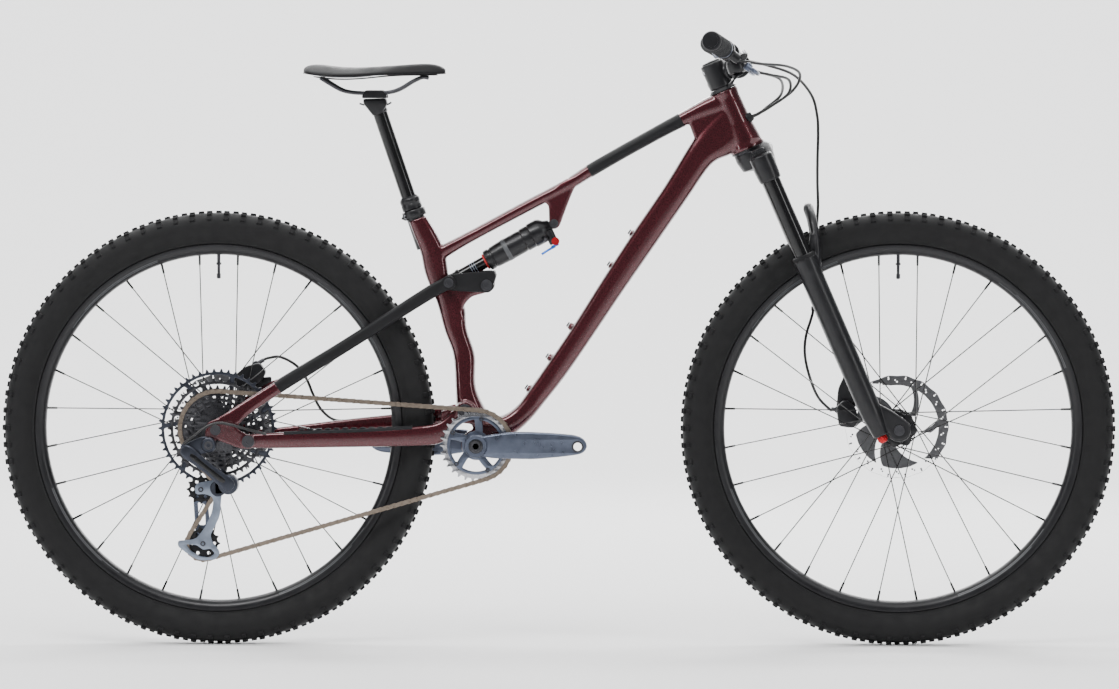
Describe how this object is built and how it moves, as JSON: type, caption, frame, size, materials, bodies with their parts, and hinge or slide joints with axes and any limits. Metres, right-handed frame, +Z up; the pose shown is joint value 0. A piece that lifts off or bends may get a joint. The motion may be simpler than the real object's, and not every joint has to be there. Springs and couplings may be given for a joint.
{
  "type": "mountain bike",
  "caption": "Full-suspension mountain bike with linkage frame, telescopic fork, dropper post, single-ring drivetrain and disc brakes, without pedals.",
  "frame": {"origin": "on the ground midway between the two axles, in the middle plane", "axes": "+X forward, +Y to the rider's left, +Z up; the drive side is -Y"},
  "size_m": [1.923, 0.7736, 1.0574],
  "materials": {
    "frame_paint": "gloss candy burgundy",
    "frame_black": "matte black",
    "anodised_grey": "satin anodised blue-grey",
    "plate_grey": "satin light grey",
    "polished_steel": "bright",
    "dark_steel": "dark satin",
    "chain_steel": "bronze silver",
    "black_aluminium": "satin black",
    "tyre_rubber": "moulded rubber",
    "rim_black": "satin black",
    "spoke_black": "black",
    "grip_rubber": "soft rubber",
    "saddle_cover": "synthetic leather",
    "hose_black": "satin",
    "control_plastic": "satin",
    "anodised_blue": "anodised blue",
    "anodised_red": "anodised red"
  },
  "bodies": {
    "frame": {"main_frame": "frame_paint", "bottom_bracket": "dark_steel", "seat_clamp": "black_aluminium", "dropper_post_outer": "black_aluminium", "main_pivot_axle": "dark_steel", "rocker_pivot_axle": "dark_steel", "chain": "chain_steel", "bar_control_lines": "hose_black"},
    "chainstay": {"chainstay": "frame_paint"},
    "seatstay": {"seatstay": "frame_paint", "rear_axle": "dark_steel", "derailleur_b_knuckle": "anodised_grey", "rear_brake_caliper": "black_aluminium", "rear_brake_hose": "hose_black", "shift_cable": "hose_black"},
    "rocker": {"rocker_link": "frame_black"},
    "shock_body": {"shock_body": "black_aluminium"},
    "shock_shaft": {"shock_shaft": "polished_steel"},
    "shock_lever": {"shock_lever": "anodised_blue"},
    "derailleur_outer_link": {"derailleur_outer_link": "anodised_grey"},
    "derailleur_inner_link": {"derailleur_inner_link": "anodised_grey"},
    "derailleur_knuckle": {"derailleur_p_knuckle": "anodised_grey"},
    "derailleur_cage": {"derailleur_cage": "plate_grey"},
    "guide_pulley": {"guide_pulley": "control_plastic"},
    "tension_pulley": {"tension_pulley": "control_plastic"},
    "crank": {"crank_arm_right": "anodised_grey", "crank_arm_left": "anodised_grey", "chainring": "polished_steel"},
    "cassette": {"cassette": "dark_steel"},
    "rear_wheel": {"rear_tyre": "tyre_rubber", "rear_rim": "rim_black", "rear_hub": "black_aluminium", "rear_spokes": "spoke_black", "rear_rotor": "polished_steel"},
    "steering": {"fork_upper": "black_aluminium", "stem": "black_aluminium", "handlebar": "black_aluminium", "grip_right": "grip_rubber", "grip_left": "grip_rubber", "brake_body_right": "black_aluminium", "brake_body_left": "black_aluminium", "shifter_pod": "control_plastic"},
    "brake_lever_right": {"brake_lever_right": "black_aluminium"},
    "brake_lever_left": {"brake_lever_left": "black_aluminium"},
    "shifter_paddle": {"shifter_paddle": "control_plastic"},
    "dropper_lever": {"dropper_lever": "black_aluminium"},
    "compression_knob": {"compression_knob": "anodised_blue"},
    "fork_lowers": {"fork_lowers": "frame_black", "front_axle": "dark_steel", "front_brake_caliper": "black_aluminium", "front_brake_hose": "hose_black"},
    "rebound_knob": {"rebound_knob": "anodised_red"},
    "front_wheel": {"front_tyre": "tyre_rubber", "front_rim": "rim_black", "front_hub": "black_aluminium", "front_spokes": "spoke_black", "front_rotor": "polished_steel"},
    "dropper_upper": {"dropper_post_inner": "black_aluminium", "saddle_rails": "dark_steel", "saddle": "saddle_cover"}
  },
  "joints": [
    {"name": "main_pivot", "type": "hinge", "parent": "frame", "child": "chainstay", "pos_m": [-0.1595, 0, 0.4057], "axis": [0, 1, 0], "range_deg": [0, 15], "deforming": ["chain", "rear_brake_hose", "shift_cable"]},
    {"name": "horst_pivot", "type": "hinge", "parent": "chainstay", "child": "seatstay", "pos_m": [-0.5305, 0, 0.3554], "axis": [0, 1, 0], "range_deg": [-7.62, 0], "deforming": ["chain", "rear_brake_hose", "shift_cable"]},
    {"name": "rocker_pivot", "type": "hinge", "parent": "frame", "child": "rocker", "pos_m": [-0.1226, 0, 0.622], "axis": [0, 1, 0], "range_deg": [0, 55.56]},
    {"name": "shock_pivot", "type": "hinge", "parent": "frame", "child": "shock_body", "pos_m": [-0.0065, 0, 0.7284], "axis": [0, 1, 0], "range_deg": [0, 6.44]},
    {"name": "shock_stroke", "type": "slide", "parent": "shock_body", "child": "shock_shaft", "axis": [0.8723, 0, 0.4889], "range_m": [0, 0.0466]},
    {"name": "shock_lever", "type": "hinge", "parent": "shock_body", "child": "shock_lever", "pos_m": [-0.005, -0.007, 0.6905], "axis": [0.4243, 0, -0.9055], "range_deg": [0, 60]},
    {"name": "crank_spin", "type": "hinge", "parent": "frame", "child": "crank", "pos_m": [-0.1396, 0, 0.3475], "axis": [0, 1, 0], "continuous": true, "deforming": ["chain"]},
    {"name": "cassette_spin", "type": "hinge", "parent": "seatstay", "child": "cassette", "pos_m": [-0.5865, 0, 0.375], "axis": [0, 1, 0], "continuous": true, "deforming": ["chain"]},
    {"name": "rear_wheel_spin", "type": "hinge", "parent": "seatstay", "child": "rear_wheel", "pos_m": [-0.5865, 0, 0.375], "axis": [0, 1, 0], "continuous": true},
    {"name": "shift", "type": "slide", "parent": "seatstay", "child": "derailleur_knuckle", "axis": [0, 0.8, -0.6], "range_m": [-0.0355, 0.0133], "deforming": ["chain", "shift_cable"]},
    {"name": "outer_link_pivot", "type": "hinge", "parent": "seatstay", "child": "derailleur_outer_link", "pos_m": [-0.633, -0.093, 0.338], "axis": [0.548, 0.5019, 0.6692], "range_deg": [-21.74, 8.27]},
    {"name": "inner_link_pivot", "type": "hinge", "parent": "seatstay", "child": "derailleur_inner_link", "pos_m": [-0.633, -0.087, 0.338], "axis": [0.548, 0.5019, 0.6692], "range_deg": [-21.74, 8.27]},
    {"name": "cage_pivot", "type": "hinge", "parent": "derailleur_knuckle", "child": "derailleur_cage", "pos_m": [-0.5838, 0, 0.2733], "axis": [0, 1, 0], "range_deg": [-36.88, 97.93], "deforming": ["chain"]},
    {"name": "guide_pulley_spin", "type": "hinge", "parent": "derailleur_cage", "child": "guide_pulley", "pos_m": [-0.6149, 0, 0.2702], "axis": [0, 1, 0], "continuous": true, "deforming": ["chain"]},
    {"name": "tension_pulley_spin", "type": "hinge", "parent": "derailleur_cage", "child": "tension_pulley", "pos_m": [-0.6115, 0, 0.1767], "axis": [0, 1, 0], "continuous": true, "deforming": ["chain"]},
    {"name": "steering", "type": "hinge", "parent": "frame", "child": "steering", "pos_m": [0.328, 0, 0.8567], "axis": [-0.3981, 0, 0.9173], "range_deg": [-50, 50], "deforming": ["bar_control_lines"]},
    {"name": "brake_lever_right_pull", "type": "hinge", "parent": "steering", "child": "brake_lever_right", "pos_m": [0.3249, -0.227, 0.9973], "axis": [-0.6, 0, -0.8], "range_deg": [0, 18], "stiffness_Nm_per_rad": 1, "springref_deg": -8.59},
    {"name": "brake_lever_left_pull", "type": "hinge", "parent": "steering", "child": "brake_lever_left", "pos_m": [0.3249, 0.227, 0.9973], "axis": [0.6, 0, 0.8], "range_deg": [0, 18], "stiffness_Nm_per_rad": 1, "springref_deg": -8.59},
    {"name": "shifter_push", "type": "hinge", "parent": "steering", "child": "shifter_paddle", "pos_m": [0.3086, -0.164, 0.987], "axis": [-0.3008, -0.2005, 0.9324], "range_deg": [0, 20], "stiffness_Nm_per_rad": 0.3, "springref_deg": -8.59},
    {"name": "dropper_lever_push", "type": "hinge", "parent": "steering", "child": "dropper_lever", "pos_m": [0.3029, 0.168, 0.9944], "axis": [0.3011, 0, -0.9536], "range_deg": [0, 20], "stiffness_Nm_per_rad": 0.3, "springref_deg": -8.59},
    {"name": "compression_turn", "type": "hinge", "parent": "steering", "child": "compression_knob", "pos_m": [0.34503, -0.065, 0.85176], "axis": [-0.3981, 0, 0.9173], "range_deg": [0, 90]},
    {"name": "fork_travel", "type": "slide", "parent": "steering", "child": "fork_lowers", "axis": [-0.3981, 0, 0.9173], "range_m": [0, 0.125], "deforming": ["front_brake_hose"]},
    {"name": "rebound_turn", "type": "hinge", "parent": "fork_lowers", "child": "rebound_knob", "pos_m": [0.55802, -0.065, 0.36099], "axis": [-0.3981, 0, 0.9173], "range_deg": [-170, 170]},
    {"name": "front_wheel_spin", "type": "hinge", "parent": "fork_lowers", "child": "front_wheel", "pos_m": [0.5865, 0, 0.375], "axis": [0, 1, 0], "continuous": true},
    {"name": "dropper_travel", "type": "slide", "parent": "frame", "child": "dropper_upper", "axis": [0.3207, 0, -0.9472], "range_m": [0, 0.15], "stiffness_N_per_m": 300, "springref_m": -0.08}
  ],
  "couplings": [
    {"joint": "horst_pivot", "follows": "main_pivot", "ratio": -0.495},
    {"joint": "rocker_pivot", "follows": "main_pivot", "ratio": 3.671},
    {"joint": "shock_pivot", "follows": "main_pivot", "ratio": 0.423},
    {"joint": "shock_stroke", "follows": "main_pivot", "m_per_rad": 0.1762},
    {"joint": "cassette_spin", "follows": "crank_spin", "ratio": 0.9375},
    {"joint": "guide_pulley_spin", "follows": "crank_spin", "ratio": -2.5},
    {"joint": "tension_pulley_spin", "follows": "crank_spin", "ratio": 2.1429},
    {"joint": "outer_link_pivot", "follows": "shift", "rad_per_m": 10.589},
    {"joint": "inner_link_pivot", "follows": "shift", "rad_per_m": 10.589},
    {"joint": "cage_pivot", "follows": "shift", "rad_per_m": -48}
  ]
}
